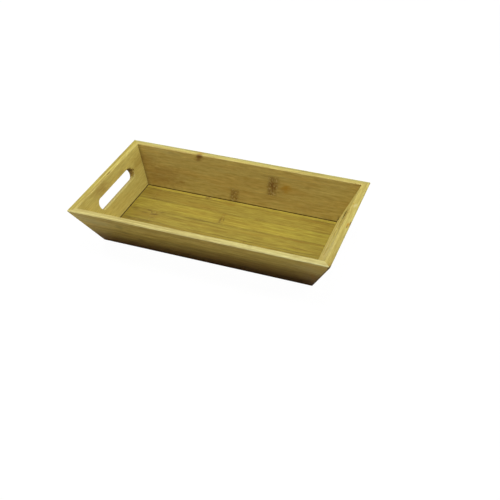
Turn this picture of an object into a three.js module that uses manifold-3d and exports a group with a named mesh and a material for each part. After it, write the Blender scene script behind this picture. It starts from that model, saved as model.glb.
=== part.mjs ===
import * as THREE from 'three';
import { mergeVertices } from 'three/addons/utils/BufferGeometryUtils.js';
import Module from 'manifold-3d';

// A bamboo serving tray. Four walls lean outwards round a flat floor, and each end wall has a
// hand hole. A wall is two plies of bamboo strips glued edge to edge, with the seams of one ply
// staggered against those of the other. The walls meet in compound mitres. The floor is one ply
// of strips, and it lies in a level groove cut into the inner ply of all four walls.
// Millimetres, +Z up. X runs along the tray, and the origin is on the ground below its middle.

// Walls
const rimLength = 351; // outside, along X, before the edges are sanded
const rimWidth = 191; // outside, along Y, before the edges are sanded
const trayHeight = 60;
const flareDegrees = 26.5; // lean of every wall from upright
const wallThickness = 9; // square to the wall's face
const innerPly = 4.5; // thickness of the ply on the inside, the rest is the outer ply
const glueLine = 0.1; // between strips, between plies and in the mitres

// Sanded edges
const rimEase = 1.4; // along the outer edges of the rim and of the foot
const innerRimEase = 0.7; // along the rim's inner edge
const holeEase = 1; // round both edges of a hand hole
const cornerRadius = 2.2; // of the tray's four outer corners, seen from above

// Hand holes, sized along the wall's own face
const handHoleLength = 94;
const handHoleHeight = 16.2;
const handHoleDrop = 15; // from the rim's inner edge down to the hole

// Floor
const floorHeight = 10.5; // top of the floor above the ground
const floorThickness = 4;
const grooveHeadroom = 0.5; // open above the floor's edge, a shadow line all round the floor
const grooveEndGap = 0.5; // between the floor's edge and the back of the groove
const grooveBackWall = 0.8; // inner ply left behind the groove where it is thinnest

// Bamboo strips
const wallStripWidth = 27;
const wallSeams = 2; // in each ply, and the lowest strip takes up the rest of the wall
const rimStripWidth = 9.6; // the uppermost strip on the inside of a long wall
const holeSeamMargin = 4.5; // between a hand hole and the outer ply's nearest seams
const floorStripWidth = 24.7;
const floorBackStripWidth = 7.6; // the floor's rearmost strip

// Facets
const easeSteps = 3; // on a sanded edge
const cornerSteps = 2; // half as many as the steps round a corner
const holeSteps = 5; // half as many as the steps round one end of a hand hole

const bambooShades = ['#bfa85c', '#b39a50', '#c8b46c', '#ac9248'];
const bambooRoughness = 0.45;

// What follows from the sizes above
const flare = THREE.MathUtils.degToRad(flareDegrees);
const lean = Math.tan(flare); // outward run for each millimetre of rise
const rimFace = wallThickness / Math.cos(flare); // level width of the rim
const footInset = trayHeight * lean; // the foot's outer edge, in from the rim's outer edge
const slopeHeight = trayHeight / Math.cos(flare);
const holeMiddleDrop = handHoleDrop + handHoleHeight / 2; // from the rim down to the hole's middle
const grooveFoot = floorHeight - floorThickness;
const grooveInset = footInset + (rimFace - innerPly / Math.cos(flare)) - grooveFoot * lean + grooveBackWall;
const floorInset = grooveInset + grooveEndGap;
const overcut = 2 * wallThickness; // how far a cutting solid runs past what it cuts

const upright = new THREE.Vector3(0, 0, 1);
const wasm = await Module();
wasm.setup();

// A closed three.js geometry as a solid that can be joined and cut
function toSolid(geometry) {
  geometry.deleteAttribute('normal');
  geometry.deleteAttribute('uv');
  const merged = mergeVertices(geometry);
  const vertProperties = merged.getAttribute('position').array;
  const triVerts = new Uint32Array(merged.getIndex().array);
  return new wasm.Manifold(new wasm.Mesh({ numProp: 3, vertProperties, triVerts }));
}

function toGeometry(solid) {
  const { vertProperties, triVerts } = solid.getMesh();
  const geometry = new THREE.BufferGeometry();
  geometry.setAttribute('position', new THREE.BufferAttribute(vertProperties, 3));
  geometry.setIndex(new THREE.BufferAttribute(triVerts, 1));
  geometry.computeVertexNormals();
  return geometry;
}

// A closed solid through rings of points, each counter-clockwise about the way the rings advance
function loft(rings) {
  const count = rings[0].length;
  const last = (rings.length - 1) * count;
  const index = [];
  for (let level = 0; level < last; level += count) {
    for (let i = 0; i < count; i += 1) {
      const here = level + i;
      const next = level + ((i + 1) % count);
      index.push(here, next, next + count, here, next + count, here + count);
    }
  }
  for (let i = 1; i + 1 < count; i += 1) {
    index.push(0, i + 1, i, last, last + i, last + i + 1);
  }
  const geometry = new THREE.BufferGeometry().setFromPoints(rings.flat());
  geometry.setIndex(index);
  return geometry;
}

// The curve that sands off a corner, from one side of it to the other
function easedCorner(before, corner, after, ease) {
  const start = before.clone().sub(corner).setLength(ease).add(corner);
  const end = after.clone().sub(corner).setLength(ease).add(corner);
  return new THREE.QuadraticBezierCurve(start, corner, end).getPoints(easeSteps);
}

// A level ring round the tray, at an inset from the rim's outer edge
function levelRing(inset, height, radius) {
  const x = rimLength / 2 - inset - radius;
  const y = rimWidth / 2 - inset - radius;
  const quarter = Math.PI / 2;
  const outline = new THREE.Path();
  if (radius > 0) {
    outline.absarc(x, y, radius, 0, quarter);
    outline.absarc(-x, y, radius, quarter, 2 * quarter);
    outline.absarc(-x, -y, radius, 2 * quarter, 3 * quarter);
    outline.absarc(x, -y, radius, 3 * quarter, 4 * quarter);
  } else {
    outline.setFromPoints([[x, y], [-x, y], [-x, -y], [x, -y]].map((corner) => new THREE.Vector2(...corner)));
  }
  return outline.getPoints(cornerSteps).map((point) => new THREE.Vector3(point.x, point.y, height));
}

// A place on a wall: along it from its middle, up its slope from the inner edge of the foot, and
// outwards square to it from its inner face
function insetOf(up, out) {
  return footInset + rimFace - up * Math.sin(flare) - out * Math.cos(flare);
}

function pointOnWall(wall, along, up, out) {
  const height = up * Math.cos(flare) - out * Math.sin(flare);
  const point = new THREE.Vector3(along, insetOf(up, out) - wall.reach, height);
  return point.applyAxisAngle(upright, wall.turn);
}

// The four walls as one hollow ring, with sanded edges and outer corners
function frameBlank() {
  const outerFoot = new THREE.Vector2(footInset, 0);
  const innerFoot = new THREE.Vector2(footInset + rimFace, 0);
  const outerRim = new THREE.Vector2(0, trayHeight);
  const innerRim = new THREE.Vector2(rimFace, trayHeight);
  const outside = [
    ...easedCorner(innerFoot, outerFoot, outerRim, rimEase),
    ...easedCorner(outerFoot, outerRim, innerRim, rimEase),
  ];
  const inside = [
    new THREE.Vector2(innerFoot.x + overcut * lean, -overcut),
    ...easedCorner(innerFoot, innerRim, outerRim, innerRimEase),
    new THREE.Vector2(rimFace - innerRimEase, trayHeight + overcut),
  ];
  const body = toSolid(loft(outside.map((point) => levelRing(point.x, point.y, cornerRadius))));
  const well = toSolid(loft(inside.map((point) => levelRing(point.x, point.y, 0))));
  return body.subtract(well);
}

// The level groove that holds the floor's four edges
function floorGroove() {
  const height = floorThickness + grooveHeadroom;
  const groove = new THREE.BoxGeometry(rimLength - 2 * grooveInset, rimWidth - 2 * grooveInset, height);
  groove.translate(0, 0, grooveFoot + height / 2);
  return toSolid(groove);
}

// A hand hole's cutter, square to the wall, flaring where the hole's two edges are sanded
function handHole(wall) {
  const innerEdge = new THREE.Vector2(0, 0);
  const outerEdge = new THREE.Vector2(0, wallThickness);
  const innerFace = new THREE.Vector2(holeEase, 0);
  const outerFace = new THREE.Vector2(holeEase, wallThickness);
  const profile = [
    new THREE.Vector2(holeEase, -overcut),
    ...easedCorner(innerFace, innerEdge, outerEdge, holeEase),
    ...easedCorner(innerEdge, outerEdge, outerFace, holeEase),
    new THREE.Vector2(holeEase, wallThickness + overcut),
  ];
  const rings = profile.map(({ x: grow, y: out }) => {
    const radius = handHoleHeight / 2 + grow;
    const straight = (handHoleLength - handHoleHeight) / 2;
    const outline = new THREE.Path();
    outline.absarc(straight, 0, radius, -Math.PI / 2, Math.PI / 2);
    outline.absarc(-straight, 0, radius, Math.PI / 2, Math.PI * 1.5);
    const middle = slopeHeight - holeMiddleDrop;
    return outline.getPoints(holeSteps).map((point) => pointOnWall(wall, point.x, middle + point.y, out));
  });
  return toSolid(loft(rings));
}

// Distances from an edge to the seams in a row of strips: a first strip, then full ones
function seamRow(firstStrip, stripWidth, count) {
  return Array.from({ length: count }, (_, i) => firstStrip + i * stripWidth);
}

// What lies between seams, half a glue line short of each
function betweenSeams(seams, from, to) {
  const edges = [from, ...seams, to];
  return seams.concat(to).map((seam, i) => ({ from: edges[i] + glueLine / 2, to: seam - glueLine / 2 }));
}

// The space of one strip in a wall: a bar with both ends cut to the mitres, half a glue line
// short of the corner's mitre plane
function stripSpace(wall, up, out) {
  const section = new THREE.Shape([
    new THREE.Vector2(up.from, out.from),
    new THREE.Vector2(up.to, out.from),
    new THREE.Vector2(up.to, out.to),
    new THREE.Vector2(up.from, out.to),
  ]);
  const bar = new THREE.ExtrudeGeometry(section, { depth: 1, bevelEnabled: false });
  const position = bar.getAttribute('position');
  for (let i = 0; i < position.count; i += 1) {
    const pointUp = position.getX(i);
    const pointOut = position.getY(i);
    const mitre = wall.run / 2 - insetOf(pointUp, pointOut) - glueLine * Math.SQRT1_2;
    const along = position.getZ(i) > 0 ? mitre : -mitre;
    const point = pointOnWall(wall, along, pointUp, pointOut);
    position.setXYZ(i, point.x, point.y, point.z);
  }
  return toSolid(bar);
}

const tray = new THREE.Group();

function addStrip(name, geometry) {
  const color = bambooShades[tray.children.length % bambooShades.length];
  const material = new THREE.MeshStandardMaterial({ color, roughness: bambooRoughness, metalness: 0 });
  const strip = new THREE.Mesh(geometry, material);
  strip.name = name;
  tray.add(strip);
}

// Seams of the plies, down the slope from the rim
const seamFromHole = handHoleHeight / 2 + holeSeamMargin;
const longSeams = {
  inner: seamRow(rimStripWidth, wallStripWidth, wallSeams),
  outer: seamRow(rimStripWidth + wallStripWidth / 2, wallStripWidth, wallSeams),
};
const endSeams = {
  inner: seamRow(holeMiddleDrop, wallStripWidth, wallSeams),
  outer: [holeMiddleDrop - seamFromHole, holeMiddleDrop + seamFromHole],
};
const longWall = { run: rimLength, reach: rimWidth / 2, seams: longSeams, hasHandHole: false };
const endWall = { run: rimWidth, reach: rimLength / 2, seams: endSeams, hasHandHole: true };
const walls = [
  { name: 'front', turn: 0, ...longWall },
  { name: 'right', turn: Math.PI / 2, ...endWall },
  { name: 'back', turn: Math.PI, ...longWall },
  { name: 'left', turn: -Math.PI / 2, ...endWall },
];

// The walls are shaped and cut as one frame, then divided into their strips
const grooved = frameBlank().subtract(floorGroove());
const frame = walls
  .filter((wall) => wall.hasHandHole)
  .reduce((cut, wall) => cut.subtract(handHole(wall)), grooved);
const plies = [
  { name: 'inner', out: { from: -overcut, to: innerPly - glueLine / 2 } },
  { name: 'outer', out: { from: innerPly + glueLine / 2, to: wallThickness + overcut } },
];
for (const wall of walls) {
  for (const ply of plies) {
    const seams = wall.seams[ply.name].map((drop) => slopeHeight - drop).reverse();
    betweenSeams(seams, -overcut, slopeHeight + overcut).forEach((up, i) => {
      const strip = frame.intersect(stripSpace(wall, up, ply.out));
      addStrip(`${wall.name}_${ply.name}_strip_${i + 1}`, toGeometry(strip));
    });
  }
}

// The floor's strips run the length of the tray, numbered from the front, where the last one takes
// up the rest and is at least a quarter of a full one
const floorLength = rimLength - 2 * floorInset;
const floorHalfWidth = rimWidth / 2 - floorInset;
const floorFullStrips = Math.floor((2 * floorHalfWidth - floorBackStripWidth) / floorStripWidth - 1 / 4);
const floorSeams = seamRow(floorBackStripWidth, floorStripWidth, floorFullStrips + 1)
  .map((place) => floorHalfWidth - place)
  .reverse();
betweenSeams(floorSeams, -floorHalfWidth, floorHalfWidth).forEach((across, i) => {
  const strip = new THREE.BoxGeometry(floorLength, across.to - across.from, floorThickness);
  strip.translate(0, (across.from + across.to) / 2, grooveFoot + floorThickness / 2);
  addStrip(`floor_strip_${i + 1}`, strip);
});

export default tray;
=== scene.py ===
from math import cos, pi, radians, sin, tan

import bpy
from mathutils import Matrix, Vector


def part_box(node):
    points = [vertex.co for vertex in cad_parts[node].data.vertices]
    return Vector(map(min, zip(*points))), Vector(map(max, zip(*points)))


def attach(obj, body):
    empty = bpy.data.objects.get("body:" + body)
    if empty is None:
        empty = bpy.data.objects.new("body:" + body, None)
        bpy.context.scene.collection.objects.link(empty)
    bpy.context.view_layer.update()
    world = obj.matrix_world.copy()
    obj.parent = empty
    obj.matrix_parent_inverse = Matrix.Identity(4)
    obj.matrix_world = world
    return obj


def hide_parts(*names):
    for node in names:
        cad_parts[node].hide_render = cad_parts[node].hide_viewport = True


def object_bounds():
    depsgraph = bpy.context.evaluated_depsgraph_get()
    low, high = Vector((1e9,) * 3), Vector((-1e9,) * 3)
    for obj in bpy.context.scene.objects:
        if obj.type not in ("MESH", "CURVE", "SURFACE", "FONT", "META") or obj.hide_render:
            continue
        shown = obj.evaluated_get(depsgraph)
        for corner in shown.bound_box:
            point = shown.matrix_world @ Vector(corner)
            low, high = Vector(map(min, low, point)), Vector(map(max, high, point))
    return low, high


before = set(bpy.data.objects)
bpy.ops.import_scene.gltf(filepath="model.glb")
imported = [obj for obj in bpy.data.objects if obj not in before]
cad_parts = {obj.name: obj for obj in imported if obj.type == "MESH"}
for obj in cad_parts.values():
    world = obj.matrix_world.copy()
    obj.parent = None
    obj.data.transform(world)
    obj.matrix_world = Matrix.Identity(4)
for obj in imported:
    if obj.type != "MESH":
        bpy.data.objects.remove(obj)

# A bamboo serving tray: four leaning walls of two plies each, mitred at the corners, round a floor of
# strips. Every strip is planed again here from its own board, with finer edges than the solids have.
# Metres, in the frame of the solids: x along the tray, y to its back, z up.

mm = 0.001
cadLow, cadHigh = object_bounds()
print("frame loaded, tray is", [round((high - low) / mm, 2) for low, high in zip(cadLow, cadHigh)], "mm")

# The walls, as glued up before the edges are sanded
walls = {
    "rimLength": 351 * mm,
    "rimWidth": 191 * mm,
    "height": cadHigh.z - cadLow.z,
    "lean": radians(26.5),
    "thickness": 9 * mm,
    "innerPly": 4.5 * mm,
    "glueLine": 0.03 * mm,  # what stays open of it
    "rimEase": {"inner": 0.7 * mm, "outer": 1.4 * mm},  # sanded edges of the rim, and of the foot outside
    "rimEaseSteps": 5,
    "cornerFacets": 4,  # on each side of a mitre
    "arris": 0.08 * mm,  # fine chamfer along each seam
    "arrisSteps": 2,
}
lean = walls["lean"]
rimFace = walls["thickness"] / cos(lean)
footInset = walls["height"] * tan(lean)
slopeHeight = walls["height"] / cos(lean)
halfGlue = walls["glueLine"] / 2
upSlope = Vector((0, -sin(lean), cos(lean)))  # for a wall at the front
tiny = 0.02 * mm  # places nearer than this are the same
clearly = 1 * mm  # and these are well apart

# Seams of the plies, measured down the slope from the rim
longSeams = {"inner": (9.6 * mm, 36.6 * mm), "outer": (23.1 * mm, 50.1 * mm)}
endSeams = {"inner": (23.1 * mm, 50.1 * mm), "outer": (10.5 * mm, 35.7 * mm)}
longWall = {"run": walls["rimLength"], "reach": walls["rimWidth"] / 2, "seams": longSeams}
endWall = {"run": walls["rimWidth"], "reach": walls["rimLength"] / 2, "seams": endSeams}
# Outer corners are sanded by hand, each to its own radius, seen from above
corners = {"frontLeft": 2.0 * mm, "frontRight": 0.6 * mm, "backRight": 1.6 * mm, "backLeft": 0.6 * mm}
wallSides = {
    "front": {"turn": 0, "ends": ("frontLeft", "frontRight"), **longWall},
    "right": {"turn": pi / 2, "ends": ("frontRight", "backRight"), **endWall},
    "back": {"turn": pi, "ends": ("backRight", "backLeft"), **longWall},
    "left": {"turn": -pi / 2, "ends": ("backLeft", "frontLeft"), **endWall},
}

# Bench tools
bench = {
    "sawGrip": 1e-7,  # points as near to a cut as this lie on it
    "roundBelow": radians(32),  # edges that turn by less shade round
}


def pickOnly(piece):
    bpy.ops.object.select_all(action="DESELECT")
    piece.select_set(True)
    bpy.context.view_layer.objects.active = piece


def applyPlace(piece):
    pickOnly(piece)
    bpy.ops.object.transform_apply(location=True, rotation=True, scale=True)


def saw(piece, point, beyond):  # takes away what lies beyond a plane and closes the cut
    pickOnly(piece)
    bpy.ops.object.mode_set(mode="EDIT")
    bpy.ops.mesh.select_all(action="SELECT")
    bpy.ops.mesh.bisect(
        plane_co=point,
        plane_no=beyond,
        use_fill=True,
        clear_outer=True,
        threshold=bench["sawGrip"],
    )
    bpy.ops.object.mode_set(mode="OBJECT")


def ease(piece, isEdge, width, steps):  # rounds the edges that a test picks by their two ends
    pickOnly(piece)
    bpy.context.tool_settings.mesh_select_mode = (False, True, False)
    bpy.ops.object.mode_set(mode="EDIT")
    bpy.ops.mesh.select_all(action="DESELECT")
    bpy.ops.object.mode_set(mode="OBJECT")
    ends = piece.data.vertices
    for edge in piece.data.edges:
        edge.select = isEdge(*(ends[i].co for i in edge.vertices))
    bpy.ops.object.mode_set(mode="EDIT")
    bpy.ops.mesh.bevel(offset=width, segments=steps, affect="EDGES", clamp_overlap=False)
    bpy.ops.object.mode_set(mode="OBJECT")


def cutAway(piece, cutter):  # a boolean cut, and the cutter is thrown away
    pickOnly(piece)
    cut = piece.modifiers.new("cut", "BOOLEAN")
    cut.operation = "DIFFERENCE"
    cut.solver = "EXACT"
    cut.object = cutter
    bpy.ops.object.modifier_apply(modifier=cut.name)
    bpy.data.objects.remove(cutter)


def smoothEdges(piece):  # flat faces stay flat, eased edges shade round
    pickOnly(piece)
    bpy.ops.object.shade_smooth_by_angle(angle=bench["roundBelow"])
    even = piece.modifiers.new("even", "WEIGHTED_NORMAL")
    even.keep_sharp = True
    bpy.ops.object.modifier_apply(modifier=even.name)


# Places on a wall at the front: along it, up its slope from the foot, and out from its inner face


def wallPoint(side, along, up, out):
    inset = footInset + rimFace - up * sin(lean) - out * cos(lean)
    return Vector((along, inset - side["reach"], up * cos(lean) - out * sin(lean)))


def placeOnWall(side, point):
    inward = point.y + side["reach"] - footInset - rimFace
    up = point.z * cos(lean) - inward * sin(lean)
    out = -point.z * sin(lean) - inward * cos(lean)
    return up, out


# Hand holes, sized along the face of an end wall
handHole = {
    "length": 94 * mm,
    "height": 16.2 * mm,
    "drop": 15 * mm,  # from the rim's inner edge
    "ease": 1.0 * mm,
    "easeSteps": 4,
    "roundness": 72,  # sides of the cutter's round ends together
    "cutterLength": 4 * walls["thickness"],
    "chip": (-48.0 * mm, 44.4 * mm, 0.2 * mm),  # along, up and out
    "chipSize": (2.4 * mm, 1.9 * mm, 1.8 * mm),
    "chipDetail": 2,
}
holeMiddle = slopeHeight - handHole["drop"] - handHole["height"] / 2


def drillHandHole(board, side):
    halfStep = pi / handHole["roundness"]
    bpy.ops.object.select_all(action="DESELECT")
    bpy.ops.mesh.primitive_cylinder_add(
        vertices=handHole["roundness"],
        radius=handHole["height"] / 2,
        depth=handHole["cutterLength"],
        rotation=(0, 0, halfStep),
    )
    cutter = bpy.context.object
    applyPlace(cutter)
    straight = (handHole["length"] - handHole["height"]) / 2
    bpy.context.tool_settings.mesh_select_mode = (True, False, False)
    for way in (-1, 1):  # pull the two halves apart into a slot with round ends
        bpy.ops.object.mode_set(mode="EDIT")
        bpy.ops.mesh.select_all(action="DESELECT")
        bpy.ops.object.mode_set(mode="OBJECT")
        for vertex in cutter.data.vertices:
            vertex.select = vertex.co.x * way > 0
        bpy.ops.object.mode_set(mode="EDIT")
        bpy.ops.transform.translate(value=(way * straight, 0, 0))
        bpy.ops.object.mode_set(mode="OBJECT")
    cutter.rotation_euler = (lean + pi / 2, 0, 0)
    cutter.location = wallPoint(side, 0, holeMiddle, walls["thickness"] / 2)
    applyPlace(cutter)
    cutAway(board, cutter)


def chipHandHole(board, side):  # torn fibres at the far end of the left hole
    bpy.ops.object.select_all(action="DESELECT")
    bpy.ops.mesh.primitive_ico_sphere_add(
        subdivisions=handHole["chipDetail"],
        radius=1,
        location=wallPoint(side, *handHole["chip"]),
        rotation=(lean + pi / 2, 0, 0),
        scale=handHole["chipSize"],
    )
    cutter = bpy.context.object
    applyPlace(cutter)
    cutAway(board, cutter)


def easeHandHole(board, side, face):
    reach = handHole["length"] / 2 + tiny
    halfHeight = handHole["height"] / 2 + tiny

    def roundTheHole(*ends):
        for end in ends:
            up, out = placeOnWall(side, end)
            if abs(out - face) > tiny or abs(end.x) > reach or abs(up - holeMiddle) > halfHeight:
                return False
        return True

    ease(board, roundTheHole, handHole["ease"], handHole["easeSteps"])


# The floor panel's own box, and the groove that holds it
floorStripCount = 6
floorStrips = [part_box(f"floor_strip_{i}") for i in range(1, floorStripCount + 1)]
floorPanel = {
    "low": floorStrips[0][0],
    "high": floorStrips[-1][1],
    "headroom": 0.5 * mm,
    "endGap": 0.5 * mm,
    "arris": 0.12 * mm,
    "arrisSteps": 2,
}


def cutGroove(board, side):
    bottom = floorPanel["low"].z
    height = floorPanel["high"].z + floorPanel["headroom"] - bottom
    if side["run"] > 2 * side["reach"]:
        halfLength, edge = floorPanel["high"].x, floorPanel["high"].y
    else:
        halfLength, edge = floorPanel["high"].y, floorPanel["high"].x
    depth = edge + floorPanel["endGap"]
    bpy.ops.object.select_all(action="DESELECT")
    bpy.ops.mesh.primitive_cube_add(
        size=1,
        location=(0, -depth / 2, bottom + height / 2),
        scale=(2 * (halfLength + floorPanel["endGap"]), depth, height),
    )
    cutter = bpy.context.object
    applyPlace(cutter)
    cutAway(board, cutter)


def roundCorners(board, side):  # the outer corner is sanded round in narrow facets up to the mitre
    for end, corner in zip((-1, 1), side["ends"]):
        radius = corners[corner]
        sideways = side["run"] / 2 - footInset - radius
        forward = side["reach"] - footInset - radius
        centre = Vector((end * sideways, -forward, 0))  # at the foot
        edgeRun = Vector((end * tan(lean), -tan(lean), 1))
        for facet in range(1, walls["cornerFacets"] + 1):
            angle = facet / walls["cornerFacets"] * pi / 4
            facing = Vector((end * sin(angle), -cos(angle), 0))
            tangent = Vector((end * cos(angle), sin(angle), 0))
            beyond = tangent.cross(edgeRun)
            if beyond.dot(facing) < 0:
                beyond.negate()
            saw(board, centre + radius * facing, beyond)


def makeBoard(side, ply):
    spare = walls["thickness"]
    width = slopeHeight + 2 * spare
    outFrom, outTo = {
        "inner": (0, walls["innerPly"] - halfGlue),
        "outer": (walls["innerPly"] + halfGlue, walls["thickness"]),
    }[ply]
    bpy.ops.object.select_all(action="DESELECT")
    bpy.ops.mesh.primitive_cube_add(
        size=1,
        location=wallPoint(side, 0, width / 2 - spare / 2, (outFrom + outTo) / 2),
        rotation=(lean, 0, 0),
        scale=(side["run"], outTo - outFrom, width),
    )
    board = bpy.context.object
    applyPlace(board)
    if side["seams"] is endSeams:
        drillHandHole(board, side)
        easeHandHole(board, side, 0 if ply == "inner" else walls["thickness"])
        if side is wallSides["left"] and ply == "inner":
            chipHandHole(board, side)
    saw(board, (0, 0, 0), (0, 0, -1))
    saw(board, (0, 0, walls["height"]), (0, 0, 1))
    # compound mitres, upright planes at 45 degrees, half a glue line short
    for end in (-1, 1):
        corner = Vector((end * (side["run"] / 2 - halfGlue * 2 ** 0.5), -side["reach"], 0))
        saw(board, corner, Vector((end, 1, 0)))
    if ply == "outer":
        roundCorners(board, side)

    def rimEdge(*ends):
        level = all(abs(end.z - walls["height"]) < tiny for end in ends)
        outs = [placeOnWall(side, end)[1] for end in ends]
        if ply == "inner":
            return level and all(out < outFrom + tiny for out in outs)
        atFoot = all(abs(end.z) < tiny for end in ends)
        return (level or atFoot) and all(out > outFrom + clearly for out in outs)

    ease(board, rimEdge, walls["rimEase"][ply], walls["rimEaseSteps"])
    if ply == "inner":
        cutGroove(board, side)
    return board


def seamsUp(side, ply):  # how far up the slope each seam is, the lowest first
    return sorted(slopeHeight - drop for drop in side["seams"][ply])


def stripName(sideName, ply, number):
    return f"{sideName}{ply.capitalize()}Strip{number}"


def ripStrips(board, sideName, side, ply):
    seams = seamsUp(side, ply)
    lows = [None] + [seam + halfGlue for seam in seams]
    highs = [seam - halfGlue for seam in seams] + [None]
    face = 0 if ply == "inner" else walls["thickness"]
    strips = []
    for number, (low, high) in enumerate(zip(lows, highs), 1):
        pickOnly(board)
        bpy.ops.object.duplicate()
        strip = bpy.context.object
        strip.name = strip.data.name = stripName(sideName, ply, number)
        if low is not None:
            saw(strip, wallPoint(side, 0, low, 0), -upSlope)
        if high is not None:
            saw(strip, wallPoint(side, 0, high, 0), upSlope)

        def seamEdge(*ends):
            ups, outs = zip(*(placeOnWall(side, end) for end in ends))
            onFace = all(abs(out - face) < tiny for out in outs)
            atLow = low is not None and all(abs(up - low) < tiny for up in ups)
            atHigh = high is not None and all(abs(up - high) < tiny for up in ups)
            return onFace and (atLow or atHigh)

        ease(strip, seamEdge, walls["arris"], walls["arrisSteps"])
        strip.rotation_euler = (0, 0, side["turn"])
        applyPlace(strip)
        smoothEdges(strip)
        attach(strip, "root")
        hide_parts(f"{sideName}_{ply}_strip_{number}")
        strips.append(strip)
    bpy.data.objects.remove(board)
    return strips


pieces = {}
for sideName, side in wallSides.items():
    for ply in ("inner", "outer"):
        for strip in ripStrips(makeBoard(side, ply), sideName, side, ply):
            pieces[strip.name] = strip
    print("planed", sideName, "wall")


def makeFloorStrip(number, low, high):
    bpy.ops.object.select_all(action="DESELECT")
    bpy.ops.mesh.primitive_cube_add(size=1, location=(low + high) / 2, scale=high - low)
    strip = bpy.context.object
    applyPlace(strip)
    strip.name = strip.data.name = f"floorStrip{number}"

    def longEdge(a, b):
        return abs(a.x - b.x) > clearly

    ease(strip, longEdge, floorPanel["arris"], floorPanel["arrisSteps"])
    smoothEdges(strip)
    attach(strip, "root")
    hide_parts(f"floor_strip_{number}")
    return strip


for number, (low, high) in enumerate(floorStrips, 1):
    strip = makeFloorStrip(number, low, high)
    pieces[strip.name] = strip
print("planed floor,", len(pieces), "strips in all")


# Camera, fitted to the tray's corners in the picture
camera = {
    "eye": Vector((0.3596, -0.8063, 0.6530)),
    "heading": -0.3792,  # from +y towards +x
    "dip": 0.6586,
    "roll": -0.0272,
    "focalPixels": 814.4,
    "framePixels": 500,
    "sensorWidth": 36,  # mm
    "clip": (0.01, 50),
}


def makeCamera():
    heading, dip, roll = camera["heading"], camera["dip"], camera["roll"]
    look = Vector((cos(dip) * sin(heading), cos(dip) * cos(heading), -sin(dip)))
    right = Vector((cos(heading), -sin(heading), 0))
    up = right.cross(look)
    tiltedRight = cos(roll) * right + sin(roll) * up
    tiltedUp = -sin(roll) * right + cos(roll) * up
    turn = Matrix((tiltedRight, tiltedUp, -look)).transposed()
    data = bpy.data.cameras.new("camera")
    data.sensor_width = camera["sensorWidth"]
    data.lens = camera["focalPixels"] / camera["framePixels"] * data.sensor_width
    data.clip_start, data.clip_end = camera["clip"]
    eye = bpy.data.objects.new("camera", data)
    eye.matrix_world = Matrix.Translation(camera["eye"]) @ turn.to_4x4()
    bpy.context.scene.collection.objects.link(eye)
    bpy.context.scene.camera = eye


makeCamera()
bpy.context.scene.view_settings.view_transform = "Standard"

# Node helpers


def feed(tree, socket, value):
    if isinstance(value, bpy.types.NodeSocket):
        tree.links.new(value, socket)
    elif value is not None:
        socket.default_value = value


def calc(tree, operation, *values, clamp=False):
    node = tree.nodes.new("ShaderNodeMath")
    node.operation = operation
    node.use_clamp = clamp
    for socket, value in zip(node.inputs, values):
        feed(tree, socket, value)
    return node.outputs[0]


def fade(tree, value, start, end):  # 0 at start, 1 at end, smooth between
    node = tree.nodes.new("ShaderNodeMapRange")
    node.interpolation_type = "SMOOTHSTEP"
    feed(tree, node.inputs["Value"], value)
    feed(tree, node.inputs["From Min"], start)
    feed(tree, node.inputs["From Max"], end)
    return node.outputs["Result"]


def blendColour(tree, amount, below, above, way="MIX"):
    node = tree.nodes.new("ShaderNodeMix")
    node.data_type = "RGBA"
    node.blend_type = way
    feed(tree, node.inputs["Factor"], amount)
    feed(tree, node.inputs["A"], below)
    feed(tree, node.inputs["B"], above)
    return node.outputs["Result"]


def linear(red, green, blue):  # from the 0 to 255 values of a screen colour
    part = [c / 255 for c in (red, green, blue)]
    return [c / 12.92 if c <= 0.04045 else ((c + 0.055) / 1.055) ** 2.4 for c in part] + [1]


# Studio: pale floor, soft lamps above and at both sides, a weak even sky
studio = {
    "floorSize": 12,
    "floorShade": linear(225, 225, 225),
    "floorGlow": 0.94,  # what the camera sees of the floor besides its own shading
    "glowStrength": 1.045,
    "glowFrom": (0.25, 0.6),  # reflections of the floor brighten from here to there
    "skyStrength": 0.03,
    "lamps": {  # place, size and power
        "topSoftbox": (Vector((0, 0.15, 1.6)), 0.7, 13.5),
        "leftSoftbox": (Vector((-1.2, 0.4, 1.0)), 0.8, 10.5),
        "rightSoftbox": (Vector((1.2, 0.4, 1.0)), 0.8, 8.5),
    },
}


def seenDirectly(tree, inGloss=1.0):  # by the camera, through glass, or in a gloss
    path = tree.nodes.new("ShaderNodeLightPath")
    gloss = calc(tree, "MULTIPLY", path.outputs["Is Glossy Ray"], inGloss)
    seen = calc(tree, "MAXIMUM", path.outputs["Is Camera Ray"], gloss)
    return calc(tree, "MAXIMUM", seen, path.outputs["Is Transmission Ray"])


def whitePaper():
    paper = bpy.data.materials.new("whitePaper")
    paper.use_nodes = True
    tree = paper.node_tree
    tree.nodes.clear()
    matt = tree.nodes.new("ShaderNodeBsdfDiffuse")
    matt.inputs["Color"].default_value = studio["floorShade"]
    glow = tree.nodes.new("ShaderNodeEmission")
    glow.inputs["Strength"].default_value = studio["glowStrength"]
    pale = tree.nodes.new("ShaderNodeMixShader")
    pale.inputs[0].default_value = studio["floorGlow"]
    tree.links.new(matt.outputs[0], pale.inputs[1])
    tree.links.new(glow.outputs[0], pale.inputs[2])
    where = tree.nodes.new("ShaderNodeTexCoord")
    reach = tree.nodes.new("ShaderNodeVectorMath")
    reach.operation = "LENGTH"
    tree.links.new(where.outputs["Object"], reach.inputs[0])
    far = fade(tree, reach.outputs["Value"], *studio["glowFrom"])
    pick = tree.nodes.new("ShaderNodeMixShader")
    tree.links.new(seenDirectly(tree, far), pick.inputs[0])
    tree.links.new(matt.outputs[0], pick.inputs[1])
    tree.links.new(pale.outputs[0], pick.inputs[2])
    out = tree.nodes.new("ShaderNodeOutputMaterial")
    tree.links.new(pick.outputs[0], out.inputs["Surface"])
    return paper


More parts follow.
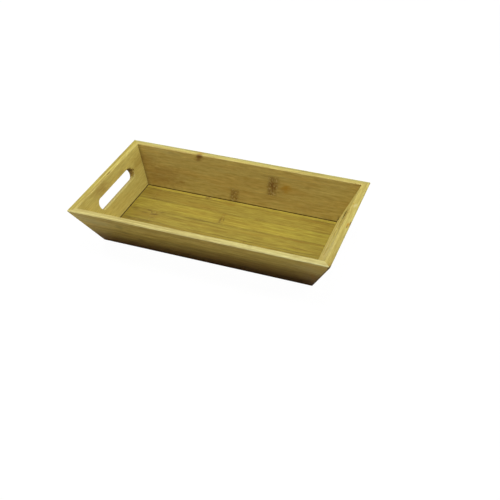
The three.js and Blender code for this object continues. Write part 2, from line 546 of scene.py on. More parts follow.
def layGround():
    bpy.ops.object.select_all(action="DESELECT")
    bpy.ops.mesh.primitive_plane_add(size=studio["floorSize"])
    ground = bpy.context.object
    ground.name = "ground"
    ground.data.materials.append(whitePaper())


def spreadSky():
    sky = bpy.data.worlds.new("sky")
    bpy.context.scene.world = sky
    sky.use_nodes = True
    tree = sky.node_tree
    background = tree.nodes["Background"]
    background.inputs["Color"].default_value = (1, 1, 1, 1)
    strength = tree.nodes.new("ShaderNodeMapRange")
    tree.links.new(seenDirectly(tree), strength.inputs["Value"])
    strength.inputs["To Min"].default_value = studio["skyStrength"]
    strength.inputs["To Max"].default_value = 1
    tree.links.new(strength.outputs["Result"], background.inputs["Strength"])


def hangLamps():
    for name, (place, size, power) in studio["lamps"].items():
        lamp = bpy.data.lights.new(name, "AREA")
        lamp.size = size
        lamp.energy = power
        holder = bpy.data.objects.new(name, lamp)
        holder.location = place
        holder.rotation_euler = (-place).to_track_quat("-Z", "Y").to_euler()
        bpy.context.scene.collection.objects.link(holder)


layGround()
spreadSky()
hangLamps()
print("camera and studio set")

# Bamboo: a solid grain in each strip, so that its face, its rim edge and its end grain belong together.
# Screen colours, and sizes in metres; a strip's own place is along it, across it, and out through it.
bamboo = {
    "endGrainTone": (198, 164, 70),
    "knotTone": (112, 72, 12),
    "knotPaleTone": (205, 180, 112),
    "rustTone": (184, 134, 24),
    "paleAndHighlightTone": (222, 210, 148),
    "strawTone": (186, 168, 58),
    "brownTone": (150, 108, 40),
    "umberTone": (138, 104, 20),
    "greyTone": (196, 184, 118),
    "barkAndShadeTone": (104, 82, 18),
    "glueAndShadowTone": (66, 44, 10),
    "plainTone": (194, 168, 88),
    "darkFibre": (0.73, 0.66, 0.54),  # of the strip's tone
    "paleFibre": (1.17, 1.21, 1.30),
    "warmth": (1.02, 0.94, 0.86),  # where the strip is browner
    "streaks": [((4, 45, 45), 0.5), ((7, 170, 170), 0.8), ((9, 420, 420), 1.5)],  # stretch and weight
    "flecks": [((50, 400, 400), 1.4), ((110, 620, 620), 0.8), ((30, 1500, 1500), 0.5)],
    "rimGrain": {"streaks": 1.4, "flecks": 0.9},  # how strong they are on planed edges
    "grainDetail": 2,
    "grainBend": 0.4,
    "grainShift": Vector((3.7, 1.9, 5.3)),  # from strip to strip
    "bundleDepth": 0.14,
    # patches of a noise: its stretch, its detail, its own shift, and where it begins and is full
    "bundles": ((120, 2400, 2400), 1, 1, 0.58, 0.70),  # short dark fibre bundles
    "warmPatches": ((14, 90, 90), 3, 2.3, 0.42, 0.66),
    "rubbedPatches": ((60, 300, 300), 3, 3.1, 0.35, 0.65),
    "gluePatches": ((22, 60, 60), 2, 1, 0.34, 0.62),
    # how squarely a surface has to face a way before it counts, and to count in full
    "planedFacing": (0.45, 0.75),
    "endGrainFacing": (0.55, 0.9),
    "faceFacing": (0.9, 0.98),
    "easedFacing": ((0.5, 0.65), (0.99, 0.94)),  # from the planed edge, and from the face
    "roughness": (0.56, 0.44),  # dark fibre, pale fibre
    "shine": 0.25,
    "edgeWear": 0.3,
    "footShade": (0.43, 0.30, 0.46),  # painted shade at the foot outside, of the strip's tone
    "seamShade": {"inside": 0.0, "outside": 0.08, "floor": 0.22},
    "seamBand": (0.5 * mm, 0.5 * mm, 1.2 * mm),  # how far below the seam, half width and softness
    "reliefDepth": 0.12 * mm,
    "reliefStrength": 0.5,
}
# Faces: their tone, how strong streaks and flecks are, and how much of them is browner
faces = {
    "frontInner": {"tone": (203, 183, 95), "streaks": 0.7, "flecks": 0.7, "warm": 0.6},
    "rightInner": {"tone": (200, 186, 104), "streaks": 0.5, "flecks": 0.8, "warm": 0.3},
    "backInner": {"tone": (203, 179, 95), "streaks": 0.32, "flecks": 0.9, "warm": 0.8},
    "leftInner": {"tone": (203, 186, 97), "streaks": 0.25, "flecks": 0.7, "warm": 0.5},
    "outer": {"tone": (204, 178, 87), "streaks": 0.8, "flecks": 1.0, "warm": 0.8},
    "floor": {"tone": (161, 143, 51), "streaks": 0.7, "flecks": 1.1, "warm": 0.6},
}
# Planed edges: rims, foot and the insides of the hand holes, at the two ends of a wall
rimTones = {
    "front": {"inner": ((201, 185, 106), (213, 201, 126)), "outer": ((209, 194, 117), (221, 210, 138))},
    "right": {"inner": ((198, 180, 93), (198, 180, 93)), "outer": ((199, 183, 96), (199, 183, 96))},
    "back": {"inner": ((207, 190, 103), (207, 190, 103)), "outer": ((193, 184, 106), (193, 184, 106))},
    "left": {"inner": ((205, 188, 94), (205, 188, 94)), "outer": ((188, 171, 74), (188, 171, 74))},
}
# How dark the joints show: mitres outside and inside and the floor's ends, each at its start and its
# end, and the groove
# The groove line, the floor's edge lines, the soft shade in inner corners and the outside mitre at the
# front-right corner are painted shadow; the other mitre lines are dark joints
jointShade = {
    "front": {"outside": (0.1, 0.65), "inside": (0.3, 0.3), "groove": 1},
    "right": {"outside": (0.85, 0.2), "inside": (0.1, 0.05), "groove": 0.2},
    "back": {"outside": (0.2, 0.2), "inside": (0.2, 0.6), "groove": 1},
    "left": {"outside": (0.2, 0.1), "inside": (0.15, 0.15), "groove": 1},
    "floor": {"floor": (1, 0.2)},
}
# How far the painted shade rises from the foot outside, at the two ends of a wall
footShadeRise = {"front": (42, 71), "right": (55, 55), "back": (55, 55), "left": (55, 55)}
# Where the floor comes out of the groove, and the upper edge of the groove on the wall's face
grooveTop = (floorPanel["high"].z + floorPanel["headroom"]) / cos(lean)
floorInset = footInset + rimFace - grooveTop * sin(lean)
floorShows = (walls["rimLength"] / 2 - floorInset, walls["rimWidth"] / 2 - floorInset)
# Bamboo nodes across a strip: place along it, half width, strength, and how dark the core is, in mm
knots = {
    "backInnerStrip1": [(9.2, 7.4, 0.9, 0.3)],
    "backInnerStrip2": [(-44.5, 8.5, 1.0, 0.7)],
    "backInnerStrip3": [(68.5, 4.0, 0.2, 1)],
    "floorStrip3": [(-100, 7.0, 0.2, 1)],
    "floorStrip4": [(-8.5, 2.5, 0.25, 1)],
    "floorStrip5": [(-119, 4.0, 0.2, 1)],
    "floorStrip6": [(-45.5, 5.0, 0.9, 0.5)],
    "floorStrip1": [(64, 4.0, 0.35, 1)],
    "floorStrip2": [(38, 4.5, 0.35, 1)],
    "frontOuterStrip1": [(40, 5.0, 0.3, 1)],
    "frontInnerStrip3": [(73, 4.0, 0.25, 1)],
    "frontInnerStrip2": [(-28, 6.0, 0.7, 0.5)],
    "frontInnerStrip1": [(95, 6.0, 0.5, 0.5)],
    "leftOuterStrip2": [(-62, 6.0, 0.6, 0.5)],
    "leftOuterStrip1": [(22, 5.0, 0.4, 0.5)],
    "rightInnerStrip2": [(-64, 5.0, 0.35, 0.5)],
    "rightInnerStrip1": [(12, 5.0, 0.4, 0.5)],
    "rightOuterStrip2": [(66, 6.0, 0.6, 0.5)],
    "rightOuterStrip1": [(-30, 5.0, 0.4, 0.5)],
    "backOuterStrip3": [(-84, 5.0, 0.5, 0.5)],
    "backOuterStrip2": [(58, 7.0, 0.7, 0.5)],
    "backOuterStrip1": [(-20, 5.0, 0.4, 0.5)],
}
# Stains, torn fibres, bleached spots, and painted shade and highlight: place and half size along, across
# and out in mm, turn in degrees about the way out, tone and strength
spots = {
    "backInnerStrip3": [
        ((68.5, 66, 0), (6, 4.5, 4), 0, "knotTone", 0.9),
        ((68.5, 62, 0), (4, 6, 4), 0, "knotTone", 0.55),
        ((69, 62, 0), (9, 5, 4), 0, "brownTone", 0.35),
        ((68.5, 68, 3), (6, 6, 3), 0, "rustTone", 0.55),
        ((120, 63, 0), (40, 4, 9), 0, "greyTone", 0.25),
    ],
    "backOuterStrip3": [((68.5, 69.5, 5.5), (6, 6, 3), 0, "rustTone", 0.45)],
    "backInnerStrip2": [
        ((-64, 43.5, 0), (9, 7, 9), 0, "rustTone", 0.75),
        ((-74, 43, 0), (14, 5, 9), 0, "rustTone", 0.22),
        ((-54, 36, 0), (2.5, 2, 9), 0, "knotTone", 0.3),
        ((-53, 50, 0), (2, 2.5, 9), 0, "knotTone", 0.25),
        ((-45, 40, 0), (3, 11, 9), 0, "knotTone", 0.4),
        ((-48, 43, 0), (1.6, 9, 9), 0, "knotTone", 0.4),
        ((-45, 57.5, 0), (16, 5, 9), 0, "plainTone", 0.95),
        ((-45, 51, 0), (12, 4, 9), 0, "plainTone", 0.3),
        ((-32, 55, 0), (12, 1.4, 9), 0, "knotTone", 0.3),
        ((122, 34, 0), (50, 14, 9), 0, "brownTone", 0.42),
        ((156, 48, 0), (34, 11, 9), 0, "brownTone", 0.5),
        ((-127, 41, 0), (9, 3, 9), 0, "brownTone", 0.3),
        ((-95, 50, 0), (7, 2, 9), 0, "brownTone", 0.3),
    ],
    "backInnerStrip1": [
        ((122, 24, 0), (50, 14, 9), 0, "brownTone", 0.46),
        ((9, 29.5, 0), (14, 3, 9), 0, "plainTone", 0.75),
        ((9, 27, 0), (7, 0.8, 9), 0, "knotTone", 0.3),
        ((4.5, 17, 0), (1.6, 5, 9), 0, "knotTone", 0.3),
        ((12.5, 21, 0), (1.4, 6, 9), 0, "knotTone", 0.3),
        ((-95, 21.5, 0), (18, 2.6, 9), 0, "brownTone", 0.35),
        ((-142, 16, 0), (1.6, 6, 9), 0, "glueAndShadowTone", 0.7),
        ((-40, 26, 0), (16, 4, 9), 0, "brownTone", 0.2),
        ((90, 25, 0), (12, 1.4, 9), 0, "brownTone", 0.45),
    ],
    "floorStrip6": [
        ((60, 59, 11), (60, 2.6, 9), 0, "strawTone", 0.2),
        ((-15, 58, 11), (32, 3, 9), 0, "umberTone", 0.4),
        ((-46.5, 57, 11), (5, 1.6, 9), 0, "barkAndShadeTone", 0.7),
        ((-95, 59, 11), (35, 2, 9), 0, "strawTone", 0.4),
    ],
    "floorStrip5": [
        ((-105, 31.2, 11), (38, 1.0, 9), 0, "barkAndShadeTone", 0.5),
        ((-80, 53.6, 11), (60, 1.2, 9), 0, "barkAndShadeTone", 0.4),
        ((-74, 35, 11), (16, 2.2, 9), 0, "umberTone", 0.4),
        ((38, 31, 11), (7, 2.5, 9), 0, "umberTone", 0.4),
        ((-118, 43, 11), (45, 14, 9), 0, "umberTone", 0.35),
        ((-50, 36, 11), (50, 7, 9), 0, "umberTone", 0.25),
        ((-10, 53, 11), (16, 3, 9), 0, "umberTone", 0.5),
        ((110, 52, 11), (28, 1.6, 9), 0, "umberTone", 0.4),
    ],
    "floorStrip4": [
        ((-9, 16, 11), (4, 9, 9), 0, "umberTone", 0.35),
        ((-9.5, 14, 11), (1.8, 8, 9), 3, "barkAndShadeTone", 0.65),
        ((-5.2, 16, 11), (1.2, 6, 9), 14, "barkAndShadeTone", 0.7),
        ((-8, 7.5, 11), (5, 1.3, 9), 0, "barkAndShadeTone", 0.7),
        ((-10, 27, 11), (9, 2.8, 9), 0, "umberTone", 0.5),
        ((-60, 29, 11), (60, 1.0, 9), 0, "umberTone", 0.4),
        ((38, 28.5, 11), (7, 2, 9), 0, "umberTone", 0.4),
        ((75, 13, 11), (50, 4, 9), 0, "strawTone", 0.5),
        ((-45, 12, 11), (40, 3.5, 9), 0, "strawTone", 0.45),
    ],
    "floorStrip2": [((-118, -21.6, 11), (34, 2.4, 9), 0, "barkAndShadeTone", 0.6)],
    "floorStrip3": [
        ((-115, -6, 11), (42, 12, 9), 0, "umberTone", 0.35),
        ((-100, -3, 11), (7.5, 1.5, 9), 16, "barkAndShadeTone", 1),
        ((-111, 3.6, 11), (6, 1.4, 9), 0, "barkAndShadeTone", 0.85),
        ((-105.8, 0.3, 11), (4, 1.2, 9), -63, "barkAndShadeTone", 0.75),
        ((-91.5, 4, 11), (5, 1.3, 9), 8, "barkAndShadeTone", 0.75),
        ((-101, -11, 11), (7, 1.3, 9), 15, "barkAndShadeTone", 0.5),
        ((-116, -3.3, 11), (7, 1.4, 9), 0, "barkAndShadeTone", 0.6),
        ((-133, 2.2, 11), (8, 1.7, 9), 4, "barkAndShadeTone", 0.75),
        ((-118, -19, 11), (34, 1.8, 9), 0, "barkAndShadeTone", 0.6),
        ((105, -16.5, 11), (30, 3.2, 9), 0, "strawTone", 0.4),
        ((112, -12, 11), (14, 1.2, 9), -4, "barkAndShadeTone", 0.5),
        ((-30, 3.6, 11), (45, 1.4, 9), 0, "barkAndShadeTone", 0.55),
        ((45, 3.6, 11), (45, 1.4, 9), 0, "barkAndShadeTone", 0.4),
        ((108, 2.6, 11), (36, 2.2, 9), 0, "umberTone", 0.5),
        ((40, -2, 11), (40, 3.5, 9), 0, "umberTone", 0.25),
    ],
    "frontOuterStrip3": [
        ((-104, 57, 9), (8, 10, 9), 0, "barkAndShadeTone", 0.3),
        ((-142, 57, 9), (38, 12, 9), 0, "greyTone", 0.4),
        ((142, 54, 9), (36, 10, 9), 0, "greyTone", 0.3),
        # painted shade at the top of the front-right corner
        ((173, 67.5, 9), (2.4, 3.6, 5), 0, "glueAndShadowTone", 0.9),
    ],
    "frontOuterStrip2": [
        ((-100, 42, 9), (6, 2.4, 9), 0, "barkAndShadeTone", 0.5),
        ((-81, 30, 9), (6, 6, 9), 0, "barkAndShadeTone", 0.35),
        ((-128, 30, 9), (9, 3, 9), 14, "barkAndShadeTone", 0.4),
        ((-148, 40, 9), (5, 3, 9), 0, "rustTone", 0.35),
        ((151, 34, 9), (6, 12, 9), 0, "rustTone", 0.5),
    ],
    "leftInnerStrip3": [
        ((28, 60, 0), (26, 12, 3), 0, "brownTone", 0.42),
        ((-68, 47.5, 0), (27, 13, 9), 0, "umberTone", 0.5),
        ((-24, 56, 0), (10, 3, 9), 0, "brownTone", 0.3),
        # painted shade at the top of the hand hole's far end
        ((-45.5, 48.5, 5), (7, 7, 6), 0, "barkAndShadeTone", 1),
        ((-46.2, 46.2, 0.8), (1.4, 1.2, 1.4), 0, "rustTone", 0.9),
        ((-47.5, 46.5, 0), (2.0, 1.5, 3), 20, "knotTone", 0.7),
        ((-3, 67.7, 1.6), (7, 5, 1.3), 0, "knotTone", 0.8),
    ],
    "leftInnerStrip2": [
        ((-46.2, 42, 0), (2.2, 1.4, 3), -25, "knotTone", 0.75),
        ((-44, 38.5, 1), (3.0, 1.0, 3), 0, "paleAndHighlightTone", 0.7),
    ],
    "leftOuterStrip3": [((2, 70.4, 6.8), (26, 6, 4), 0, "umberTone", 0.4)],
    # painted shade at the top of the hand hole's far end
    "leftOuterStrip2": [((-45.5, 48.5, 5), (7, 7, 5), 0, "barkAndShadeTone", 1)],
    "rightOuterStrip3": [
        ((-7.5, 70.2, 6.3), (6, 6, 2.2), 0, "rustTone", 0.85),
        ((-12, 70, 6.0), (5, 5, 1.2), 0, "knotTone", 0.7),
        ((-3.5, 70.9, 7.8), (5, 5, 1.1), 0, "knotTone", 0.95),
        # a painted highlight on the rim, and beside it on the inner ply
        ((36, 69, 4.5), (6, 5, 2.4), 0, "paleAndHighlightTone", 0.6),
        ((-91, 70.5, 7.0), (4.5, 6, 2.6), 0, "rustTone", 0.4),
        ((-94, 71, 8.4), (3, 5, 1.6), 0, "glueAndShadowTone", 0.8),
    ],
    # painted shade at the far end of the hand hole
    "rightOuterStrip2": [((44, 46, 5), (9, 10, 8), 0, "barkAndShadeTone", 0.95)],
    "rightInnerStrip3": [
        ((-60, 62, 1.5), (45, 9, 3), 0, "paleAndHighlightTone", 0.4),
        ((-42, 51, 0), (45, 12, 3), 0, "paleAndHighlightTone", 0.6),
        ((52, 62, 0), (30, 7, 3), 0, "strawTone", 0.3),
        ((18, 61, 0), (28, 7, 3), 0, "rustTone", 0.4),
        # a painted highlight on the rim
        ((35.5, 68.5, 3.6), (6, 5, 2.4), 0, "paleAndHighlightTone", 0.6),
        ((39, 67.5, 0.8), (2.5, 3, 1.5), 0, "rustTone", 0.8),
        # painted shade at the far end of the hand hole
        ((44, 48, 3), (9, 6, 8), 0, "barkAndShadeTone", 0.95),
    ],
    "rightInnerStrip2": [
        # painted shade at the far end of the hand hole
        ((44, 42, 3), (9, 6, 8), 0, "barkAndShadeTone", 0.95),
        ((-20, 30, 0), (50, 12, 3), 0, "paleAndHighlightTone", 0.3),
        ((-36, 43, 0), (22, 8, 3), 0, "paleAndHighlightTone", 0.5),
        ((36, 33, 0), (14, 7, 3), 0, "brownTone", 0.22),
        ((70, 22, 0), (14, 9, 3), 0, "brownTone", 0.3),
    ],
}
# How light each strip is beside its neighbours, at its start and at its end, one number or red, green, blue
lightness = {
    # The floor strips: their own tones, with painted shade making each darker towards its left end
    "floorStrip1": (0.95, 1.0),
    "floorStrip2": (0.9, 0.96),
    "floorStrip3": ((0.94, 0.94, 0.86), (1.03, 1.03, 1.02)),
    "floorStrip4": ((1.05, 1.04, 0.91), (1.15, 1.19, 1.18)),
    "floorStrip5": ((0.9, 0.87, 0.86), (0.98, 0.96, 1.0)),
    "floorStrip6": (1.14, 1.18),
    # The front's outer strips: their own tones, with painted shade darkening them towards the foot and the
    # right end
    "frontOuterStrip1": (1.1, 0.6),
    "frontOuterStrip2": (0.99, 0.78),
    "frontOuterStrip3": (1.11, 0.98),
    "backOuterStrip2": (0.93, 0.93),
    "leftOuterStrip1": (0.94, 0.94),
    "rightOuterStrip1": (0.95, 0.95),
    "leftInnerStrip1": (0.9, 1.05),
    "leftInnerStrip2": (0.9, 1.06),
    "leftInnerStrip3": (1.08, 1.02),
    "rightInnerStrip1": (1.10, 1.10),
    "rightInnerStrip2": (1.12, 1.12),
    "rightInnerStrip3": (1.08, 1.08),
    "backInnerStrip1": (1.02, 1.02),
    "backInnerStrip2": (1.03, 1.03),
    "backInnerStrip3": (1.08, 1.1),
}


halfway = 0.5  # the middle of a noise, and of the grain between dark and pale fibre


def noise(tree, place, stretch, shift, detail, bend=0):
    spread = tree.nodes.new("ShaderNodeMapping")
    tree.links.new(place, spread.inputs["Vector"])
    spread.inputs["Location"].default_value = shift
    spread.inputs["Scale"].default_value = stretch
    pattern = tree.nodes.new("ShaderNodeTexNoise")
    pattern.inputs["Scale"].default_value = 1
    pattern.inputs["Detail"].default_value = detail
    pattern.inputs["Distortion"].default_value = bend
    tree.links.new(spread.outputs[0], pattern.inputs["Vector"])
    return pattern.outputs[0]


def patches(tree, place, shift, look):  # islands of a noise: stretch, detail, own shift, and its fade
    stretch, detail, move, start, end = look
    return fade(tree, noise(tree, place, stretch, shift * move, detail), start, end)


def turnedInto(tree, vector, origin, turn, size=(1, 1, 1)):  # into directions and sizes of its own
    node = tree.nodes.new("ShaderNodeMapping")
    node.vector_type = "TEXTURE"
    tree.links.new(vector, node.inputs["Vector"])
    node.inputs["Location"].default_value = origin
    node.inputs["Rotation"].default_value = turn
    node.inputs["Scale"].default_value = size
    return node.outputs[0]


def parts(tree, vector):
    node = tree.nodes.new("ShaderNodeSeparateXYZ")
    tree.links.new(vector, node.inputs[0])
    return node.outputs


def band(tree, value, middle, half, soft):  # 1 within half of the middle, fading out over soft
    away = calc(tree, "ABSOLUTE", calc(tree, "SUBTRACT", value, middle))
    return fade(tree, away, half + soft, half)


def times(tone, factor):  # one number, or one each for red, green and blue
    factors = factor if isinstance(factor, tuple) else (factor,) * 3
    return [part * by for part, by in zip(tone, factors)] + [1]


# A bamboo node: bands in shares of its half width, the patches in it, and how strongly each of them shows
knotLook = {
    "sway": ((40, 120, 120), 4, 5 * mm),  # stretch, detail and reach of the noise that bends it
    "whole": (0, 0.55, 0.6),  # middle, half width and softness of a band
    "halo": (-0.5, 0.6, 2),
    "core": (0.2, 0.08, 0.4),
    "flecks": ((420, 320, 320), 3, 1, 0.34, 0.66),
    "strokes": ((260, 90, 90), 2, 1.3, 0.38, 0.60),
    "specks": ((420, 340, 340), 1, 1.7, 0.57, 0.64),
    "shades": {"whole": 0.24, "flecks": 0.3, "halo": 0.1, "core": 0.45, "specks": 0.8},
}


def paintKnot(tree, colour, place, along, shift, at, half, strength, heart):
    stretch, detail, reach = knotLook["sway"]
    sway = calc(tree, "SUBTRACT", noise(tree, place, stretch, shift, detail), halfway)
    swayed = calc(tree, "MULTIPLY_ADD", sway, reach, along)
    bands = {}
    for name in ("whole", "halo", "core"):
        middle, width, soft = (half * share for share in knotLook[name])
        bands[name] = band(tree, swayed, at + middle, width, soft)
    marks = {name: patches(tree, place, shift, knotLook[name]) for name in ("flecks", "strokes", "specks")}
    shades = {name: shade * strength for name, shade in knotLook["shades"].items()}
    dark = calc(tree, "MULTIPLY_ADD", marks["flecks"], shades["flecks"], shades["whole"])
    dark = calc(tree, "MULTIPLY", bands["whole"], dark)
    dark = calc(tree, "MULTIPLY_ADD", bands["halo"], shades["halo"], dark)
    broken = calc(tree, "MULTIPLY", bands["core"], marks["strokes"])
    dark = calc(tree, "MULTIPLY_ADD", broken, shades["core"] * heart, dark, clamp=True)
    colour = blendColour(tree, dark, colour, linear(*bamboo["knotTone"]))
    pale = calc(tree, "MULTIPLY", calc(tree, "MULTIPLY", bands["whole"], marks["specks"]), shades["specks"])
    return blendColour(tree, pale, colour, linear(*bamboo["knotPaleTone"])), dark


# A stain or bleached spot: its ragged edge, and where it shows first and in full, in its own half sizes
spotLook = {
    "edgeNoise": ((160, 420, 420), 3),  # stretch and detail
    "raggedness": 1.2,
    "fade": (1.1, 0.1),
}


def paintSpot(tree, colour, place, shift, centre, size, turn, tone, strength):
    near = turnedInto(tree, place, [c * mm for c in centre], (0, 0, radians(turn)), [s * mm for s in size])
    reach = tree.nodes.new("ShaderNodeVectorMath")
    reach.operation = "LENGTH"
    tree.links.new(near, reach.inputs[0])
    stretch, detail = spotLook["edgeNoise"]
    ragged = noise(tree, place, stretch, shift, detail)
    even = calc(tree, "SUBTRACT", reach.outputs["Value"], spotLook["raggedness"] * halfway)
    edge = calc(tree, "MULTIPLY_ADD", ragged, spotLook["raggedness"], even)
    amount = calc(tree, "MULTIPLY", fade(tree, edge, *spotLook["fade"]), strength)
    return blendColour(tree, amount, colour, linear(*bamboo[tone]))


# Dark lines where pieces meet, dark joints and painted shadow: how far short of the joint each begins and
# is full
jointLook = {
    "floor": (-0.85 * mm, -0.25 * mm),
    "outside": (-2.6 * mm, -0.9 * mm),
    "inside": (-1.4 * mm, -0.3 * mm),
    "paintedCornerShade": (-7 * mm, 0),  # a soft painted shade in the inner corners
    "paintedCornerShadeShare": 0.45,
    "groove": (0.25 * mm, 0.5 * mm),  # half width and softness
    "change": (-1 * mm, 1 * mm),  # mid-wall, where the shade of one end gives way to the other's
}


def jointLine(tree, kind, along, across, halfRun, shade):
    reach = calc(tree, "ABSOLUTE", along)
    start, end = shade[kind]
    atEnd = calc(tree, "MULTIPLY_ADD", fade(tree, along, *jointLook["change"]), end - start, start)
    # the floor's dark edges are painted shadow of the gap where the floor goes into the groove
    if kind == "floor":
        overEnd = calc(tree, "SUBTRACT", reach, floorShows[0])
        overSide = calc(tree, "SUBTRACT", calc(tree, "ABSOLUTE", across), floorShows[1])
        ends = calc(tree, "MULTIPLY", fade(tree, overEnd, *jointLook[kind]), atEnd)
        return calc(tree, "MAXIMUM", ends, fade(tree, overSide, *jointLook[kind]))
    out = 0 if kind == "inside" else walls["thickness"]
    mitreFoot = halfRun - footInset - rimFace + out * cos(lean)
    overMitre = calc(tree, "SUBTRACT", reach, calc(tree, "MULTIPLY_ADD", across, sin(lean), mitreFoot))
    line = fade(tree, overMitre, *jointLook[kind])
    # outside, a dark joint; its strong shade at the front-right corner is painted shade of that corner
    if kind == "outside":
        return calc(tree, "MULTIPLY", line, atEnd)
    # painted shade, soft in the inner corners
    paintedCornerShade = calc(tree, "MULTIPLY", fade(tree, overMitre, *jointLook["paintedCornerShade"]), jointLook["paintedCornerShadeShare"])
    corner = calc(tree, "MULTIPLY", calc(tree, "MAXIMUM", paintedCornerShade, line), atEnd)
    # the band at the groove's upper edge is painted shadow of the gap above the floor
    groove = calc(tree, "MULTIPLY", band(tree, across, grooveTop, *jointLook["groove"]), shade["groove"])
    return calc(tree, "MAXIMUM", corner, groove)


def tinted(tree, colour, tint):
    return blendColour(tree, 1.0, colour, [*tint, 1], "MULTIPLY")


def mixGrain(tree, place, shift, face, planed):  # streaks, flecks and short dark bundles in one value
    grain = halfway
    for layers, onRim in bamboo["rimGrain"].items():
        total = 0.0
        for stretch, weight in bamboo[layers]:
            fibre = noise(tree, place, stretch, shift, bamboo["grainDetail"], bamboo["grainBend"])
            total = calc(tree, "MULTIPLY_ADD", calc(tree, "SUBTRACT", fibre, halfway), weight, total)
        contrast = calc(tree, "MULTIPLY_ADD", planed, onRim - face[layers], face[layers])
        grain = calc(tree, "MULTIPLY_ADD", total, contrast, grain)
    bundles = patches(tree, place, shift, bamboo["bundles"])
    return calc(tree, "MULTIPLY_ADD", bundles, -bamboo["bundleDepth"], grain, clamp=True)


def mixTone(tree, name, face, rim, place, shift, onward, planed, endGrain):  # of the wood under its grain
    tone = linear(*face["tone"])
    start, end = (times(tone, factor) for factor in lightness.get(name, (1, 1)))
    base = blendColour(tree, onward, start, end)
    warm = calc(tree, "MULTIPLY", patches(tree, place, shift, bamboo["warmPatches"]), face["warm"])
    base = blendColour(tree, warm, base, tinted(tree, base, bamboo["warmth"]))
    base = blendColour(tree, planed, base, blendColour(tree, onward, *(linear(*tone) for tone in rim)))
    return blendColour(tree, endGrain, base, linear(*bamboo["endGrainTone"]))


def rubEdges(tree, colour, place, shift, facingOut):  # eased edges are worn pale
    onEdge = calc(tree, "MULTIPLY", *(fade(tree, facingOut, *limits) for limits in bamboo["easedFacing"]))
    worn = calc(tree, "MULTIPLY", onEdge, patches(tree, place, shift, bamboo["rubbedPatches"]))
    worn = calc(tree, "MULTIPLY", worn, bamboo["edgeWear"])
    return blendColour(tree, worn, colour, linear(*bamboo["paleAndHighlightTone"]))


def darkenSeams(tree, colour, place, shift, kind, across, seams):  # unevenly, with glue
    below, half, soft = bamboo["seamBand"]
    uneven = patches(tree, place, shift, bamboo["gluePatches"])
    uneven = calc(tree, "MULTIPLY", uneven, bamboo["seamShade"][kind])
    for seam in seams:
        glue = calc(tree, "MULTIPLY", band(tree, across, seam - below, half, soft), uneven)
        colour = blendColour(tree, glue, colour, linear(*bamboo["glueAndShadowTone"]))
    return colour


def paintFootShade(tree, colour, across, onward, rise):  # painted shade, darker towards the foot outside; it rises from one end of the wall to the other
    top = calc(tree, "MULTIPLY_ADD", onward, (rise[1] - rise[0]) * mm, rise[0] * mm)
    footShaded = tinted(tree, colour, bamboo["footShade"])
    return blendColour(tree, fade(tree, across, top, 0), colour, footShaded)


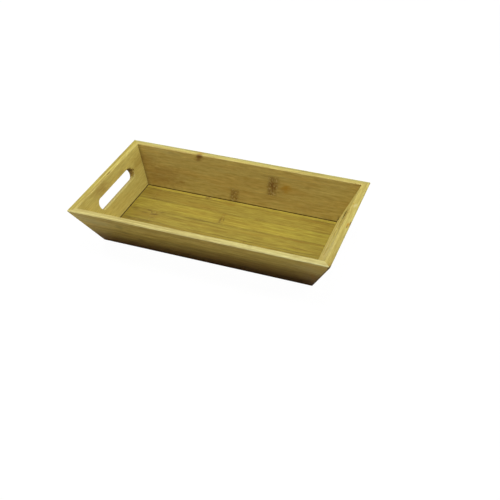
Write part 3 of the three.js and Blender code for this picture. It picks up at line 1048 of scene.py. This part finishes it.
def bambooFinish(name, kind, face, rim, origin, turn, halfRun, seams, shade, rise, order):
    finish = bpy.data.materials.new(name)
    finish.use_nodes = True
    tree = finish.node_tree
    surface = tree.nodes["Principled BSDF"]
    source = tree.nodes.new("ShaderNodeTexCoord")
    place = turnedInto(tree, source.outputs["Object"], origin, turn)
    along, across, _ = parts(tree, place)
    facing = parts(tree, turnedInto(tree, source.outputs["Normal"], (0, 0, 0), turn))
    facingAlong, facingAcross, facingOut = (calc(tree, "ABSOLUTE", facing[axis]) for axis in range(3))
    planed = fade(tree, facingAcross, *bamboo["planedFacing"])
    endGrain = fade(tree, facingAlong, *bamboo["endGrainFacing"])
    onward = fade(tree, along, -halfRun, halfRun)
    shift = bamboo["grainShift"] * (order + 1)

    grain = mixGrain(tree, place, shift, face, planed)
    tone = mixTone(tree, name, face, rim, place, shift, onward, planed, endGrain)
    dark = tinted(tree, tone, bamboo["darkFibre"])
    pale = tinted(tree, tone, bamboo["paleFibre"])
    colour = blendColour(tree, grain, dark, pale)
    relief = grain
    for at, half, strength, heart in knots.get(name, []):
        colour, knot = paintKnot(tree, colour, place, along, shift, at * mm, half * mm, strength, heart)
        relief = calc(tree, "SUBTRACT", relief, knot)
    for spot in spots.get(name, []):
        colour = paintSpot(tree, colour, place, shift, *spot)
    colour = rubEdges(tree, colour, place, shift, facingOut)
    colour = darkenSeams(tree, colour, place, shift, kind, across, seams)
    if kind == "outside":
        colour = paintFootShade(tree, colour, across, onward, rise)
    joint = jointLine(tree, kind, along, across, halfRun, shade)
    if kind == "inside":  # on the face alone, not on the rim or in a hand hole
        joint = calc(tree, "MULTIPLY", joint, fade(tree, facingOut, *bamboo["faceFacing"]))
    # dark joints, with painted shadow in the gaps and inner corners
    colour = blendColour(tree, joint, colour, linear(*bamboo["glueAndShadowTone"]))

    tree.links.new(colour, surface.inputs["Base Color"])
    gloss = tree.nodes.new("ShaderNodeMapRange")
    tree.links.new(relief, gloss.inputs["Value"])
    gloss.inputs["To Min"].default_value, gloss.inputs["To Max"].default_value = bamboo["roughness"]
    tree.links.new(gloss.outputs[0], surface.inputs["Roughness"])
    surface.inputs["Specular IOR Level"].default_value = bamboo["shine"]
    bump = tree.nodes.new("ShaderNodeBump")
    bump.inputs["Strength"].default_value = bamboo["reliefStrength"]
    bump.inputs["Distance"].default_value = bamboo["reliefDepth"]
    tree.links.new(relief, bump.inputs["Height"])
    tree.links.new(bump.outputs[0], surface.inputs["Normal"])
    return finish


def dress(name, *look):
    piece = pieces[name]
    piece.data.materials.clear()
    piece.data.materials.append(bambooFinish(name, *look))


order = 0
for sideName, side in wallSides.items():
    origin = Matrix.Rotation(side["turn"], 3, "Z") @ wallPoint(side, 0, 0, 0)
    turn = (lean + pi / 2, 0, side["turn"])
    for ply in ("inner", "outer"):
        kind = "inside" if ply == "inner" else "outside"
        face = faces[sideName + "Inner"] if ply == "inner" else faces["outer"]
        rim = rimTones[sideName][ply]
        shade, rise = jointShade[sideName], footShadeRise[sideName]
        seams = seamsUp(side, ply)
        for number in range(1, len(seams) + 2):
            name = stripName(sideName, ply, number)
            dress(name, kind, face, rim, origin, turn, side["run"] / 2, seams, shade, rise, order)
            order += 1
floorFace = faces["floor"]
floorRim = (floorFace["tone"], floorFace["tone"])
floorSeams = [strip[1].y for strip in floorStrips[:-1]]
level = (0, 0, 0)
for number in range(1, len(floorStrips) + 1):
    shade, rise = jointShade["floor"], None
    name = f"floorStrip{number}"
    dress(name, "floor", floorFace, floorRim, level, level, floorShows[0], floorSeams, shade, rise, order)
    order += 1
print("bamboo finished")
